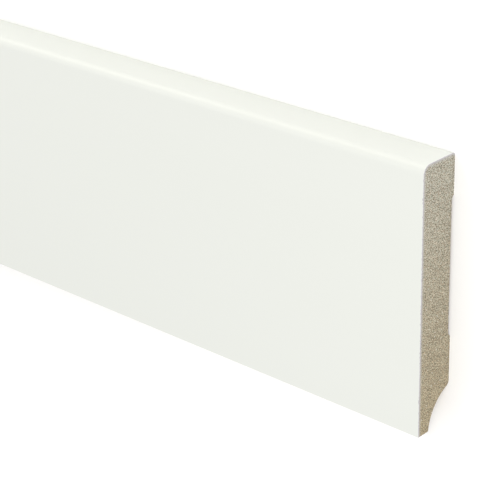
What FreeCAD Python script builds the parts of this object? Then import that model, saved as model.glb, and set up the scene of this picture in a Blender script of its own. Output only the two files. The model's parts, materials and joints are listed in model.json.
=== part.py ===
import FreeCAD, Part
import os
import Sketcher

# Length of MDF skirting board: one piece, moulded along its whole length and sawn square at both ends.
# It lies face up on the two flat lands of its back. X runs along the length, Y up the board's height
# from the foot to the top edge, Z through its thickness from the back to the face. The origin is at
# the middle of the back, on the surface that the board lies on.

# Driving sizes in millimetres.
SIZES = {
    # The blank.
    "board_length": 2400.0,
    "board_height": 90.0,
    "board_thickness": 15.0,
    # The shallow recess between the two lands, which lets the board bridge bumps in a wall.
    "upper_land_width": 13.5,
    "lower_land_width": 16.5,
    "recess_depth": 1.05,
    "shoulder_width": 1.1,
    # The cable cove behind the foot, and the thin foot that it leaves.
    "cove_height": 12.8,
    "cove_radius": 15.0,
    "foot_thickness": 5.0,
    # The rounded edges, which run the whole length.
    "top_rounding_radius": 3.0,
    "top_back_radius": 0.5,
    "land_end_radius": 1.8,
    "foot_back_radius": 0.5,
}

# Two points closer than this are the same corner.
SAME_POINT = 1e-4


def make_sheet(doc):
    """Put each driving size in a cell of its own, with its name beside it."""
    sheet = doc.addObject("Spreadsheet::Sheet", "Sizes")
    for row, (name, value) in enumerate(SIZES.items(), start=1):
        sheet.set(f"A{row}", name)
        sheet.set(f"B{row}", str(value))
        sheet.setAlias(f"B{row}", name)
    doc.recompute()
    return sheet


def section_corners(sheet):
    """Corners of the section before its edges are rounded, in order round it; x is Y and y is Z."""
    foot_y = -sheet.board_height / 2
    top_y = sheet.board_height / 2
    upper_mouth_y = top_y - sheet.upper_land_width
    cove_y = foot_y + sheet.cove_height
    lower_mouth_y = cove_y + sheet.lower_land_width
    corners = {
        "face_foot": (foot_y, sheet.board_thickness),
        "face_top": (top_y, sheet.board_thickness),
        "back_top": (top_y, 0),
        "upper_mouth": (upper_mouth_y, 0),
        "upper_floor": (upper_mouth_y - sheet.shoulder_width, sheet.recess_depth),
        "lower_floor": (lower_mouth_y + sheet.shoulder_width, sheet.recess_depth),
        "lower_mouth": (lower_mouth_y, 0),
        "cove_top": (cove_y, 0),
        "foot_back": (foot_y, sheet.board_thickness - sheet.foot_thickness),
    }
    return {name: FreeCAD.Vector(y, z, 0) for name, (y, z) in corners.items()}


def cove_arc(land_end, foot_back, radius):
    """Hollow arc from the end of the lower land round to the back of the foot."""
    chord = foot_back - land_end
    towards_board = FreeCAD.Vector(chord.y, -chord.x, 0).normalize()
    middle = (land_end + foot_back) / 2
    rise = radius - (radius ** 2 - (chord.Length / 2) ** 2) ** 0.5
    return Part.Arc(land_end, middle + towards_board * rise, foot_back)


def make_section(body, sheet):
    """Draw the section across the board, with every size of it bound to the sheet."""
    sketch = body.newObject("Sketcher::SketchObject", "BoardSection")
    across = next(plane for plane in body.Origin.OriginFeatures if plane.Role == "YZ_Plane")
    sketch.AttachmentSupport = [(across, "")]
    sketch.MapMode = "FlatFace"

    # Each side starts at the corner whose name it bears. An arc is stored anticlockwise, so its
    # ends are found by their place.
    corners = section_corners(sheet)
    names = list(corners)
    pairs = list(zip(names, names[1:] + names[:1]))
    side = {}
    for name, next_name in pairs:
        if name == "cove_top":
            shape = cove_arc(corners[name], corners[next_name], sheet.cove_radius)
        else:
            shape = Part.LineSegment(corners[name], corners[next_name])
        side[name] = sketch.addGeometry(shape, False)

    def end_of(name, corner_name):
        place = sketch.getPoint(side[name], 1)
        is_first = place.distanceToPoint(corners[corner_name]) < SAME_POINT
        return side[name], 1 if is_first else 2

    start = {name: end_of(name, name) for name in names}
    for name, next_name in pairs:
        joint = Sketcher.Constraint("Coincident", *end_of(name, next_name), *start[next_name])
        sketch.addConstraint(joint)

    # The face, the lands and the recess floor are level, and the top edge and the foot are square to them.
    for name in ("face_foot", "back_top", "upper_floor", "lower_mouth"):
        sketch.addConstraint(Sketcher.Constraint("Horizontal", side[name]))
    for name in ("face_top", "foot_back"):
        sketch.addConstraint(Sketcher.Constraint("Vertical", side[name]))
    origin = (-1, 1)
    level_axis = -1
    for name in ("back_top", "lower_mouth"):
        sketch.addConstraint(Sketcher.Constraint("PointOnObject", *start[name], level_axis))

    distances = (
        ("DistanceX", start["face_foot"], origin, "Sizes.board_height / 2"),
        ("DistanceX", start["face_foot"], start["face_top"], "Sizes.board_height"),
        ("DistanceY", origin, start["face_foot"], "Sizes.board_thickness"),
        ("DistanceX", start["upper_mouth"], start["back_top"], "Sizes.upper_land_width"),
        ("DistanceX", start["upper_floor"], start["upper_mouth"], "Sizes.shoulder_width"),
        ("DistanceX", start["lower_mouth"], start["lower_floor"], "Sizes.shoulder_width"),
        ("DistanceY", start["lower_mouth"], start["lower_floor"], "Sizes.recess_depth"),
        ("DistanceX", start["cove_top"], start["lower_mouth"], "Sizes.lower_land_width"),
        ("DistanceX", start["face_foot"], start["cove_top"], "Sizes.cove_height"),
        ("DistanceY", start["foot_back"], start["face_foot"], "Sizes.foot_thickness"),
    )
    for kind, first, second, expression in distances:
        value = sketch.getPoint(*second) - sketch.getPoint(*first)
        distance = value.x if kind == "DistanceX" else value.y
        index = sketch.addConstraint(Sketcher.Constraint(kind, *first, *second, distance))
        sketch.setExpression(f"Constraints[{index}]", expression)
    index = sketch.addConstraint(Sketcher.Constraint("Radius", side["cove_top"], sheet.cove_radius))
    sketch.setExpression(f"Constraints[{index}]", "Sizes.cove_radius")
    return sketch


def round_edge(body, corner, radius_name, label):
    """Round the long edge that runs through this corner of the section."""
    base = body.Tip

    def is_long_edge(edge):
        ends = [vertex.Point for vertex in edge.Vertexes]
        across = [FreeCAD.Vector(end.y, end.z, 0) for end in ends]
        along = abs(ends[0].x - ends[-1].x)
        return along > SAME_POINT and all(end.distanceToPoint(corner) < SAME_POINT for end in across)

    edges = [f"Edge{number}" for number, edge in enumerate(base.Shape.Edges, start=1)
             if is_long_edge(edge)]
    fillet = body.newObject("PartDesign::Fillet", label)
    fillet.Base = (base, edges)
    fillet.setExpression("Radius", f"Sizes.{radius_name}")
    body.Document.recompute()


def make_board(doc, sheet):
    """Mould the section along the length and round its edges."""
    body = doc.addObject("PartDesign::Body", "SkirtingBoard")
    body.Label = "skirting_board"
    section = make_section(body, sheet)

    length = body.newObject("PartDesign::Pad", "BoardLength")
    length.Profile = section
    length.SideType = "Symmetric"
    length.setExpression("Length", "Sizes.board_length")
    section.Visibility = False
    doc.recompute()

    corners = section_corners(sheet)
    round_edge(body, corners["face_top"], "top_rounding_radius", "TopRounding")
    round_edge(body, corners["back_top"], "top_back_radius", "TopBackEdge")
    round_edge(body, corners["cove_top"], "land_end_radius", "LandEnd")
    round_edge(body, corners["foot_back"], "foot_back_radius", "FootBackEdge")
    return body


def check(doc, bodies):
    """Stop before anything is written if a feature failed or a shape is not sound."""
    for item in doc.Objects:
        faults = {"Invalid", "Error"} & set(item.State)
        if faults:
            raise RuntimeError(f"{item.Name}: {sorted(faults)}")
    for body in bodies:
        if body.Shape.isNull() or not body.Shape.isValid() or len(body.Shape.Solids) != 1:
            raise RuntimeError(f"{body.Label}: not one sound solid")


def main():
    doc = FreeCAD.newDocument("SkirtingBoard")
    sheet = make_sheet(doc)
    board = make_board(doc, sheet)
    doc.recompute()
    check(doc, [board])

    os.makedirs("parts", exist_ok=True)
    board.Shape.exportStep(f"parts/{board.Label}.step")
    box = board.Shape.BoundBox
    print(f"{board.Label}: {box.XLength:.2f} x {box.YLength:.2f} x {box.ZLength:.2f} mm, "
          f"{board.Shape.Volume:.0f} mm3")


main()
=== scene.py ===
import json
import math

import bmesh
import bpy
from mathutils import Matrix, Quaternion, Vector

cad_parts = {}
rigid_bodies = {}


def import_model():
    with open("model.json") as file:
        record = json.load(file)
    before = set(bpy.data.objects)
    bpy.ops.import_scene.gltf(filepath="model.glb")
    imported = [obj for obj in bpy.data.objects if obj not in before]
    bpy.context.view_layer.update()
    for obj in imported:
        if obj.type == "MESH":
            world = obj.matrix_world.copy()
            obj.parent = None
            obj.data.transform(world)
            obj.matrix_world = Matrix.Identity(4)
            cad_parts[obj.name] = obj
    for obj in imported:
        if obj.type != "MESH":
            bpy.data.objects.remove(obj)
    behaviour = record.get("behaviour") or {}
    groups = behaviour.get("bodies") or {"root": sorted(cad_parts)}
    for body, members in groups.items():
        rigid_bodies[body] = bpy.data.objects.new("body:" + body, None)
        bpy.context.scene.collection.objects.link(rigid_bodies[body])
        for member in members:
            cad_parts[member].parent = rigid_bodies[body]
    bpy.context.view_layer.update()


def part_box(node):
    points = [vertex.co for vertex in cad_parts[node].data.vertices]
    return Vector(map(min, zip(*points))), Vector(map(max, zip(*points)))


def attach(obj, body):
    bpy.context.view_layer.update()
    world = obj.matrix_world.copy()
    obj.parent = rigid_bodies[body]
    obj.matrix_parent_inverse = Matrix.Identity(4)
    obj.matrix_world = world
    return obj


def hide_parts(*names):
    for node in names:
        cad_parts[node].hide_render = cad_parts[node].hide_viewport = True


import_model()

mm = 0.001

# The board. One length of MDF, moulded by cutters that run its whole length: a rounded top edge, a
# shallow recess between the two flat lands of its back, and a cable cove behind its thin foot. It is
# sawn square at both ends, and its face, top rounding and top edge carry a white satin coat.
low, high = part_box("skirting_board")
board_length = high.x - low.x
foot_y, top_y = low.y, high.y
back_z, face_z = low.z, high.z

upper_land_width = 13.5 * mm
lower_land_width = 16.5 * mm
recess_depth = 1.05 * mm
shoulder_width = 1.1 * mm
cove_height = 12.8 * mm
cove_radius = 15.0 * mm
foot_thickness = 5.0 * mm
top_rounding_radius = 3.0 * mm
top_back_radius = 1.0 * mm
land_end_radius = 1.8 * mm
foot_back_radius = 0.5 * mm

# Two places nearer to each other than this are the same.
same_place = 0.01 * mm


def on_section(y, z):
    """A place on the section at the board's right end."""
    return Vector((high.x, y, z))


def heading(start, end):
    """The direction from one place of the section to another, in degrees from Y towards Z."""
    return math.degrees(math.atan2(end.z - start.z, end.y - start.y))


def run_to(end):
    """Carry the outline on in a straight line."""
    shape = bmesh.from_edit_mesh(board.data)
    tip = next(vertex for vertex in shape.verts if vertex.select)
    bpy.ops.mesh.extrude_region_move(TRANSFORM_OT_translate={"value": end - tip.co})


def turn(centre, degrees, steps):
    """Carry the outline on in an arc about a centre, positive from Y towards Z."""
    bpy.ops.mesh.spin(
        steps=steps, angle=-math.radians(degrees), center=centre, axis=(1, 0, 0), use_auto_merge=False)


# The cove's circle runs through the two corners that its size is given at.
cove_top = on_section(foot_y + cove_height, back_z)
foot_back = on_section(foot_y, face_z - foot_thickness)
chord = foot_back - cove_top
across_chord = Vector((0, -chord.z, chord.y)).normalized()
chord_drop = math.sqrt(cove_radius ** 2 - (chord.length / 2) ** 2)
cove_centre = (cove_top + foot_back) / 2 + across_chord * chord_drop

# The land's end and the back of the foot are rounded, and each rounding runs smoothly into the cove.
land_end_z = back_z + land_end_radius
land_end_drop = land_end_z - cove_centre.z
land_end_y = cove_centre.y + math.sqrt((cove_radius + land_end_radius) ** 2 - land_end_drop ** 2)
land_end_centre = on_section(land_end_y, land_end_z)

foot_back_y = foot_y + foot_back_radius
foot_back_reach = foot_back_y - cove_centre.y
foot_back_z = cove_centre.z + math.sqrt((cove_radius + foot_back_radius) ** 2 - foot_back_reach ** 2)
foot_back_centre = on_section(foot_back_y, foot_back_z)

# The outline starts as one point at the foot of the face. It is drawn along the face, over the top edge
# and along the back: the upper land, the recess, the lower land, the cove and the foot.
face_foot = on_section(foot_y, face_z)
bpy.ops.object.select_all(action="DESELECT")
bpy.ops.mesh.primitive_plane_add(size=mm, location=face_foot)
bpy.ops.object.transform_apply(location=True, rotation=True, scale=True)
board = bpy.context.object
board.name = "moulded_board"
bpy.ops.object.mode_set(mode="EDIT")
bpy.ops.mesh.merge(type="CENTER")

top_centre = on_section(top_y - top_rounding_radius, face_z - top_rounding_radius)
run_to(on_section(top_centre.y, face_z))
turn(top_centre, degrees=-90, steps=20)
top_back_centre = on_section(top_y - top_back_radius, back_z + top_back_radius)
run_to(on_section(top_y, top_back_centre.z))
turn(top_back_centre, degrees=-90, steps=6)

upper_mouth_y = top_y - upper_land_width
lower_mouth_y = cove_top.y + lower_land_width
run_to(on_section(upper_mouth_y, back_z))
run_to(on_section(upper_mouth_y - shoulder_width, back_z + recess_depth))
run_to(on_section(lower_mouth_y + shoulder_width, back_z + recess_depth))
run_to(on_section(lower_mouth_y, back_z))

run_to(on_section(land_end_y, back_z))
turn(land_end_centre, degrees=heading(land_end_centre, cove_centre) + 90, steps=8)
cove_turn = heading(cove_centre, foot_back_centre) - heading(cove_centre, land_end_centre)
turn(cove_centre, degrees=cove_turn, steps=36)
turn(foot_back_centre, degrees=-180 - heading(foot_back_centre, cove_centre), steps=6)
run_to(face_foot)
bpy.ops.mesh.select_all(action="SELECT")
bpy.ops.mesh.remove_doubles(threshold=same_place)

# How far each corner of the section lies from the foot of the face, measured round the outline. The
# first edge is the longest one there, which is the face.
shape = bmesh.from_edit_mesh(board.data)
corner = next(vertex for vertex in shape.verts if (vertex.co - face_foot).length < same_place)
edge = max(corner.link_edges, key=lambda link: link.calc_length())
outline = []
round_outline = 0.0
for _ in range(len(shape.verts)):
    outline.append((corner.co.copy(), round_outline))
    round_outline += edge.calc_length()
    corner = edge.other_vert(corner)
    edge = next(link for link in corner.link_edges if link != edge)


def distance_round(y, z):
    """The distance round the outline at which a corner of the section lies."""
    return min(outline, key=lambda entry: (entry[0] - on_section(y, z)).length)[1]


# The section is carried from the right end to the left, in four stretches, and both ends are closed.
stretches = 4
for _ in range(stretches):
    bpy.ops.mesh.extrude_region_move(
        TRANSFORM_OT_translate={"value": (-board_length / stretches, 0, 0)})
bpy.ops.mesh.edge_face_add()
bpy.ops.mesh.select_all(action="DESELECT")
for edge in bmesh.from_edit_mesh(board.data).edges:
    edge.select_set(all(vertex.co.x > high.x - same_place for vertex in edge.verts))
bpy.ops.mesh.edge_face_add()
bpy.ops.mesh.select_all(action="SELECT")
bpy.ops.mesh.normals_make_consistent(inside=False)


class Shade:
    """A socket of a finish. Sums on it add Math nodes, and node() adds any other kind."""

    def __init__(self, tree, socket=None):
        self.tree = tree
        self.socket = socket

    def node(self, kind, settings, sockets, output=0):
        made = self.tree.nodes.new(f"ShaderNode{kind}")
        for name, value in settings.items():
            setattr(made, name, value)
        for name, value in sockets.items():
            if isinstance(value, Shade):
                self.tree.links.new(value.socket, made.inputs[name])
            else:
                made.inputs[name].default_value = value
        return Shade(self.tree, made.outputs[output])

    def math(self, operation, *values):
        return self.node("Math", {"operation": operation}, dict(enumerate(values)))

    def __add__(self, other):
        return self.math("ADD", self, other)

    def __radd__(self, other):
        return self.math("ADD", other, self)

    def __sub__(self, other):
        return self.math("SUBTRACT", self, other)

    def __rsub__(self, other):
        return self.math("SUBTRACT", other, self)

    def __mul__(self, other):
        return self.math("MULTIPLY", self, other)

    def __rmul__(self, other):
        return self.math("MULTIPLY", other, self)


def new_finish(name):
    """A finish with its shader and the place on the board, in metres, that its patterns read."""
    finish = bpy.data.materials.new(name)
    finish.use_nodes = True
    shader = finish.node_tree.nodes["Principled BSDF"]
    place = Shade(finish.node_tree).node("TexCoord", {}, {}, "Object")
    board.data.materials.append(finish)
    return shader, place


def grain(place, size, detail=2.0, harshness=0.5):
    """Soft noise from 0 to 1 whose grains have this size along X, Y and Z."""
    scaled = place.node("Mapping", {}, {"Vector": place, "Scale": [1 / length for length in size]})
    return place.node("TexNoise", {}, {
        "Vector": scaled, "Scale": 1.0, "Detail": detail, "Roughness": harshness})


def clamped(shade):
    """The shade kept between 0 and 1."""
    return shade.node("Clamp", {}, {"Value": shade})


def sharpened(shade, contrast, middle=0.5):
    """The shade with more contrast about a middle value, kept between 0 and 1."""
    return clamped(contrast * (shade - middle) + 0.5)


def between(factor, first, second):
    """A colour that goes from the first to the second as the factor goes from 0 to 1."""
    # The node takes its two colours at its inputs 6 and 7, and gives their mix at its output 2.
    mix = factor.node("Mix", {"data_type": "RGBA"}, {0: factor}, 2)
    for index, colour in ((6, first), (7, second)):
        socket = mix.socket.node.inputs[index]
        if isinstance(colour, Shade):
            factor.tree.links.new(colour.socket, socket)
        else:
            socket.default_value = (*colour, 1.0)
    return mix


def tinted(colour, tint):
    """A colour multiplied by a tint."""
    return colour.node("VectorMath", {"operation": "MULTIPLY"}, {0: colour, 1: tint})


def feed(shader, **shades):
    """Link what varies over the surface to the shader's sockets."""
    for name, shade in shades.items():
        shade.tree.links.new(shade.socket, shader.inputs[name.replace("_", " ")])


# The coat: smooth and satin, with a fine orange peel and faint lines from the rollers along it. The saw
# has chipped it a little along both ends.
# The coat's two whites are its own tone, mixed at random by broad clouds and the roller lines.
coat_white = (0.690, 0.704, 0.669)
coat_duller_white = (0.677, 0.691, 0.652)
coat_roughness = 0.33
coat_refraction = 1.48
peel_height = 0.004 * mm
chip_grey = (0.47, 0.455, 0.46)
chip_depth = 0.35 * mm
chip_unevenness = 5.0
chip_sharpness = 5.0
coat, place = new_finish("white_coat")
cloud = grain(place, (180 * mm, 45 * mm, 45 * mm))
roller_lines = grain(place, (400 * mm, 1.1 * mm, 1.1 * mm), detail=3.0)
peel = grain(place, (1.6 * mm, 1.2 * mm, 1.2 * mm), detail=1.0)
coat_colour = between(0.75 * cloud + 0.25 * roller_lines, coat_duller_white, coat_white)
chipping = grain(place, (1.0 * mm, 0.9 * mm, 0.9 * mm), harshness=0.6)
along = place.node("SeparateXYZ", {}, {"Vector": place}, "X")
from_end = high.x - along.math("ABSOLUTE", along)
chip = (chipping - 0.5) * chip_unevenness - from_end * (1.0 / chip_depth)
feed(
    coat,
    Base_Color=between(clamped(chip_sharpness * chip), coat_colour, chip_grey),
    Roughness=coat_roughness + 0.08 * cloud + 0.06 * roller_lines,
    Normal=place.node("Bump", {}, {
        "Strength": 1.0, "Distance": peel_height, "Height": peel + 0.3 * roller_lines}))
coat.inputs["IOR"].default_value = coat_refraction

# The bare MDF of the back, cut smooth: short fibres lie in it as paler and darker flecks, and the cutters
# leave faint ripples across its length and drag faint streaks along it.
milled_light = (0.49, 0.41, 0.30)
milled_dark = (0.32, 0.25, 0.165)
fibre_pale = (0.57, 0.50, 0.39)
milled_roughness = 0.62
milled_height = 0.02 * mm
cutter_step = 1.6 * mm
milled, place = new_finish("milled_mdf")
fibre = sharpened(grain(place, (0.9 * mm, 0.6 * mm, 0.6 * mm), harshness=0.6), contrast=2.0)
streak = grain(place, (140 * mm, 1.5 * mm, 1.5 * mm), detail=3.0)
mottle = grain(place, (40 * mm, 14 * mm, 14 * mm))
long_fibre = grain(place, (2.2 * mm, 0.35 * mm, 0.35 * mm), detail=1.0)
long_fibre = sharpened(long_fibre, contrast=5.0, middle=0.72)
along = place.node("SeparateXYZ", {}, {"Vector": place}, "X")
ripple = along * (2.0 * math.pi / cutter_step) + 4.0 * mottle
ripple = ripple.math("SINE", ripple)
bare = between(0.4 * fibre + 0.35 * streak + 0.25 * mottle, milled_dark, milled_light)
feed(
    milled,
    Base_Color=between(0.5 * long_fibre, bare, fibre_pale),
    Roughness=milled_roughness + 0.2 * fibre,
    Normal=place.node("Bump", {}, {
        "Strength": 1.0, "Distance": milled_height, "Height": fibre + 0.8 * streak + 0.4 * ripple}))

# The sawn ends, where the torn fibre bundles stand out as pale and dark flecks, with a few paler specks;
# the dark flecks also carry painted shade in the pits.
# Painted shade makes the end darker and warmer towards the foot and a little paler at the top, and the
# coat's primer has soaked into the outermost fibres.
coat_thickness = 0.3 * mm
soak_depth = 1.1 * mm
primed_fibre = (0.47, 0.46, 0.455)
pale_fleck = (0.63, 0.588, 0.488)
dark_fleck_and_pit_shade = (0.105, 0.084, 0.046)
fleck_size = (0.32 * mm, 0.36 * mm, 0.33 * mm)
fleck_contrast = 4.4
fleck_height = 0.06 * mm
clump_contrast = 0.3
russet = (1.06, 0.98, 0.92)
sage = (0.94, 1.02, 1.03)
painted_foot_shade = (0.88, 0.79, 0.64)
painted_top_light = (1.0, 1.02, 1.06)
speck_white = (0.70, 0.67, 0.60)
speck_spacing = 2.0 * mm
speck_radius = 0.2714 * mm
speck_sharpness = 14.0
sawn_roughness = 0.75
sawn, place = new_finish("sawn_mdf")
# This pattern is also the relief's height, so its darkest colour lies in the lowest pits as painted shade.
fleck_and_pit = grain(place, fleck_size, detail=2.5, harshness=0.65)
clump = grain(place, (2.2 * mm, 2.2 * mm, 2.2 * mm))
fleck_and_pit = clamped(fleck_contrast * (fleck_and_pit - 0.5) + 0.5 + clump_contrast * (clump - 0.5))
hue = sharpened(grain(place, (0.8 * mm, 0.8 * mm, 0.8 * mm), detail=1.0), contrast=2.0)
# Painted shade: the end darkens and warms towards the foot and pales at the top, laid over the fibres'
# random hue.
height = place.node("SeparateXYZ", {}, {"Vector": place}, "Y")
rise = height * (1.0 / (top_y - foot_y)) + 0.5
tint = tinted(between(rise, painted_foot_shade, painted_top_light), between(hue, russet, sage))
flecks_and_pit_shade = tinted(between(fleck_and_pit, dark_fleck_and_pit_shade, pale_fleck), tint)
to_speck = place.node("TexVoronoi", {}, {"Vector": place, "Scale": 1 / speck_spacing}, "Distance")
speck = clamped(speck_sharpness * (speck_radius / speck_spacing - to_speck))
flecks_and_pit_shade = between(0.8 * speck, flecks_and_pit_shade, speck_white)

# The coat follows the top rounding, so the depth under it is told by the reach from the rounding's centre.
past_centre = place.node("VectorMath", {"operation": "MULTIPLY_ADD"}, {
    0: place, 1: (0, 1, 1), 2: (0, -top_centre.y, -top_centre.z)})
past_centre = past_centre.node("VectorMath", {"operation": "MAXIMUM"}, {0: past_centre, 1: (0, 0, 0)})
reach = past_centre.node("VectorMath", {"operation": "LENGTH"}, {0: past_centre}, "Value")
under_coat = top_rounding_radius - coat_thickness - reach
soaked = clamped(1.0 - under_coat * (1.0 / soak_depth))
feed(
    sawn,
    Base_Color=between(0.7 * soaked, flecks_and_pit_shade, primed_fibre),
    Roughness=sawn_roughness + 0.15 * fleck_and_pit,
    Normal=place.node("Bump", {}, {"Strength": 1.0, "Distance": fleck_height, "Height": fleck_and_pit}))

# The sawn edge of the coat itself, which its primer greys.
edge_pale = (0.49, 0.46, 0.505)
edge_grey = (0.41, 0.385, 0.42)
edge_roughness = 0.6
coat_rim, place = new_finish("coat_edge")
wear = sharpened(grain(place, (0.5 * mm, 0.5 * mm, 0.5 * mm)), contrast=3.0)
feed(coat_rim, Base_Color=between(wear, edge_grey, edge_pale), Roughness=edge_roughness + 0.2 * wear)

# Which finish each side wears, numbered as they were made. A side faces along an axis where its normal
# leans that way by more than this.
white_coat, milled_mdf, sawn_mdf, coat_edge = range(4)
facing = 0.5
shape = bmesh.from_edit_mesh(board.data)
shape.normal_update()
for face in shape.faces:
    centre = face.calc_center_median()
    is_end = abs(face.normal.x) > facing
    is_coated = face.normal.z > facing or centre.y > top_y - top_back_radius
    face.material_index = sawn_mdf if is_end else white_coat if is_coated else milled_mdf

# Each sawn end shows the thickness of the coat as a thin line round its coated sides. The rest of it is
# cut into a fine net, which is pressed in unevenly, as a saw leaves torn fibre.
net_size = 0.4 * mm
tear_size = 0.55 * mm
tear_depth = 0.09 * mm


def at_end(face, end_x):
    """Whether a face lies in the board's end at this X."""
    return abs(face.calc_center_median().x - end_x) < same_place


def select_faces(is_wanted):
    """Select the faces that pass a test, and nothing else."""
    bpy.ops.mesh.select_all(action="DESELECT")
    faces = bmesh.from_edit_mesh(board.data).faces
    for face in [face for face in faces if is_wanted(face)]:
        face.select_set(True)


def cut_net(end_x, axis, start, end):
    """Cut the bare part of a sawn end into even strips across one axis."""
    normal = Vector((0, 0, 0))
    normal[axis] = 1.0
    count = round((end - start) / net_size)
    for number in range(1, count):
        level = start + (end - start) * number / count

        def is_crossed(face):
            if face.material_index != sawn_mdf or not at_end(face, end_x):
                return False
            places = [vertex.co[axis] for vertex in face.verts]
            return min(places) < level < max(places)

        select_faces(is_crossed)
        bpy.ops.mesh.bisect(plane_co=normal * level, plane_no=normal)


bpy.ops.mesh.select_mode(type="FACE")
for end_x in (high.x, low.x):
    select_faces(lambda face: at_end(face, end_x))
    bpy.ops.mesh.inset(thickness=coat_thickness)
    shape = bmesh.from_edit_mesh(board.data)
    rim = [face for face in shape.faces if at_end(face, end_x) and not face.select]
    coated_rim = [face for face in rim
                  if any(other.material_index == white_coat
                         for edge in face.edges for other in edge.link_faces)]
    for face in coated_rim:
        face.material_index = coat_edge
    cut_net(end_x, axis=1, start=foot_y, end=top_y)
    cut_net(end_x, axis=2, start=back_z, end=face_z)

# The border of the net stays where it is, so that it still meets the coat and the back.
select_faces(lambda face: face.material_index == sawn_mdf)
bpy.ops.mesh.select_mode(type="VERT")
bpy.ops.mesh.select_less()
bpy.ops.object.vertex_group_assign_new()
bpy.ops.object.mode_set(mode="OBJECT")

torn_fibre = bpy.data.textures.new("torn_fibre", "CLOUDS")
torn_fibre.noise_scale = tear_size
torn_fibre.noise_depth = 2
bpy.ops.object.modifier_add(type="DISPLACE")
relief = board.modifiers[-1]
relief.texture = torn_fibre
relief.texture_coords = "LOCAL"
relief.vertex_group = board.vertex_groups[-1].name
relief.mid_level = 1.0
relief.strength = tear_depth
bpy.ops.object.modifier_apply(modifier=relief.name)
bpy.ops.object.shade_smooth_by_angle(angle=math.radians(30))

# The map that the finishes are kept on, in pixels. The two sawn ends lie at the bottom at full detail.
# Above them the coat and the bare back of each stretch are unrolled by their distance round the outline.
map_size = 1024.0
pixel = 1.0 / map_size
gap = 4.0
end_detail = 7.9 / mm
coat_detail = 0.75 / mm
back_detail = 1.05 / mm
stretch_length = board_length / stretches
along_detail = (map_size - 2.0 * gap) / stretch_length
coat_end = distance_round(top_y - top_back_radius, back_z)
end_rows = 2.0 * ((face_z - back_z) * end_detail + gap)
coat_rows = coat_end * coat_detail
back_rows = (round_outline - coat_end) * back_detail
stretch_rows = coat_rows + back_rows + 2.0 * gap

board.data.uv_layers[0].name = "OFBake"
kept_map = board.data.uv_layers[0].data
for face in board.data.polygons:
    stretch = min(int((high.x - face.center.x) / stretch_length), stretches - 1)
    stretch_row = gap + end_rows + stretch * stretch_rows
    for loop in face.loop_indices:
        x, y, z = board.data.vertices[board.data.loops[loop].vertex_index].co
        if abs(face.normal.x) > facing:
            column = gap + (y - foot_y) * end_detail
            row = gap + (z - back_z) * end_detail + (end_rows / 2.0 if face.center.x < 0 else 0.0)
        else:
            column = gap + (high.x - x - stretch * stretch_length) * along_detail
            distance = distance_round(y, z)
            if face.material_index == white_coat:
                row = stretch_row + distance * coat_detail
            else:
                # The outline also ends where it starts, at the foot of the face.
                distance = distance or round_outline
                row = stretch_row + coat_rows + gap + (distance - coat_end) * back_detail
        kept_map[loop].uv = (column * pixel, row * pixel)

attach(board, "root")
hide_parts("skirting_board")

# The floor. A plain sheet of pale matt paper under the board, which is stage and no part of the object.
floor_size = 14.0
paper_white = (0.97, 0.97, 0.97)
paper_roughness = 0.9
bpy.ops.object.select_all(action="DESELECT")
bpy.ops.mesh.primitive_plane_add(size=floor_size, location=(0, 0, back_z))
floor = bpy.context.object
floor.name = "studio_floor"
paper = bpy.data.materials.new("floor_paper")
paper.use_nodes = True
paper_shader = paper.node_tree.nodes["Principled BSDF"]
paper_shader.inputs["Base Color"].default_value = (*paper_white, 1.0)
paper_shader.inputs["Roughness"].default_value = paper_roughness
floor.data.materials.append(paper)

# The light. A bright white room, and nine softboxes that don't show: one over the middle of the board,
# and four for each end, so that both ends are lit alike.
room_strength = 0.756
white = (1.0, 1.0, 1.0)
warm_white = (1.0, 0.99, 0.95)
cream = (1.0, 0.985, 0.89)
world = bpy.data.worlds.new("white_room")
world.use_nodes = True
room = world.node_tree.nodes["Background"]
room.inputs["Color"].default_value = (*white, 1.0)
room.inputs["Strength"].default_value = room_strength
bpy.context.scene.world = world
bpy.context.scene.view_settings.view_transform = "Standard"


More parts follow.
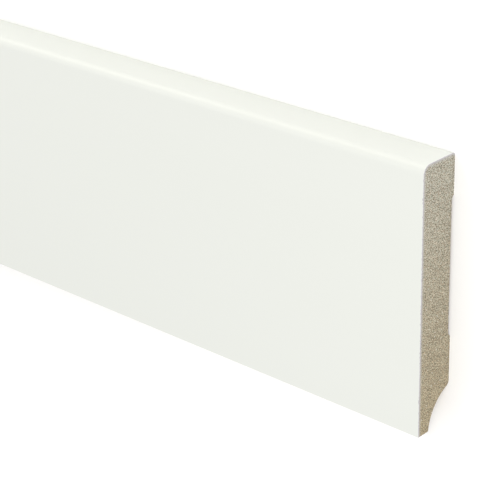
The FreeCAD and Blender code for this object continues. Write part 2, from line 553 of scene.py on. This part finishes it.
def add_softbox(name, place, aim, size, spread, power, colour):
    """Hang a softbox at a place and turn it to its aim, with its spread in degrees and power in watts."""
    bpy.ops.object.light_add(type="AREA", location=place)
    softbox = bpy.context.object
    softbox.name = name
    softbox.data.shape = "RECTANGLE"
    softbox.data.size, softbox.data.size_y = size
    softbox.data.spread = math.radians(spread)
    softbox.data.energy = power
    softbox.data.color = colour
    softbox.visible_camera = False
    softbox.rotation_mode = "QUATERNION"
    softbox.rotation_quaternion = (aim - place).to_track_quat("-Z", "Y")


def past_end(hand, out, y, z):
    """A place this far out past the board's right end, or past its left end where hand is -1."""
    return Vector((hand * (high.x + out), y, z))


add_softbox(
    "middle_softbox", place=Vector((0, 0, 1.3)), aim=Vector((0, 0, 0)), size=(1.0, 0.5),
    spread=60, power=0.5, colour=white)
for side, hand in (("right", 1.0), ("left", -1.0)):
    near_end = past_end(hand, -0.05, 0, 0)
    # A wide one off the foot's corner, whose light reaches under the foot.
    add_softbox(
        f"{side}_foot_softbox", place=past_end(hand, 0.8, -0.9, 0.9), aim=near_end, size=(0.7, 0.5),
        spread=180, power=7.1, colour=white)
    # A small one above the top edge's corner.
    add_softbox(
        f"{side}_top_softbox", place=past_end(hand, 0.35, 0.3, 0.6), aim=near_end, size=(0.25, 0.2),
        spread=180, power=1.6, colour=warm_white)
    # A large one, low and well off the top edge, whose glow runs along the rounding.
    add_softbox(
        f"{side}_edge_softbox", place=past_end(hand, -1.15, 1.155, 0.387), aim=past_end(hand, -0.2, 0, 0),
        size=(1.2, 0.6), spread=80, power=1.96, colour=cream)
    # A weak one above the top edge, which carries that glow down to the face.
    add_softbox(
        f"{side}_ridge_softbox", place=past_end(hand, -0.66, 0.32, 0.64), aim=past_end(hand, -0.1, 0, 0),
        size=(0.3, 0.3), spread=90, power=0.15, colour=white)

# The camera. It looks down on the right end from above the top edge, and is rolled so that the board,
# which lies here, stands upright in the picture.
camera_place = Vector((high.x + 0.29990, 0.24969, 0.41385))
camera_aim = Vector((high.x - 0.06874, -0.00175, face_z))
camera_roll = math.radians(-115.68)
bpy.ops.object.camera_add(location=camera_place)
camera = bpy.context.object
camera.rotation_mode = "QUATERNION"
aimed = (camera_aim - camera_place).to_track_quat("-Z", "Y")
camera.rotation_quaternion = aimed @ Quaternion((0, 0, 1), camera_roll)
camera.data.sensor_width = 36.0
camera.data.lens = 134.44
camera.data.clip_start = 0.01
bpy.context.scene.camera = camera
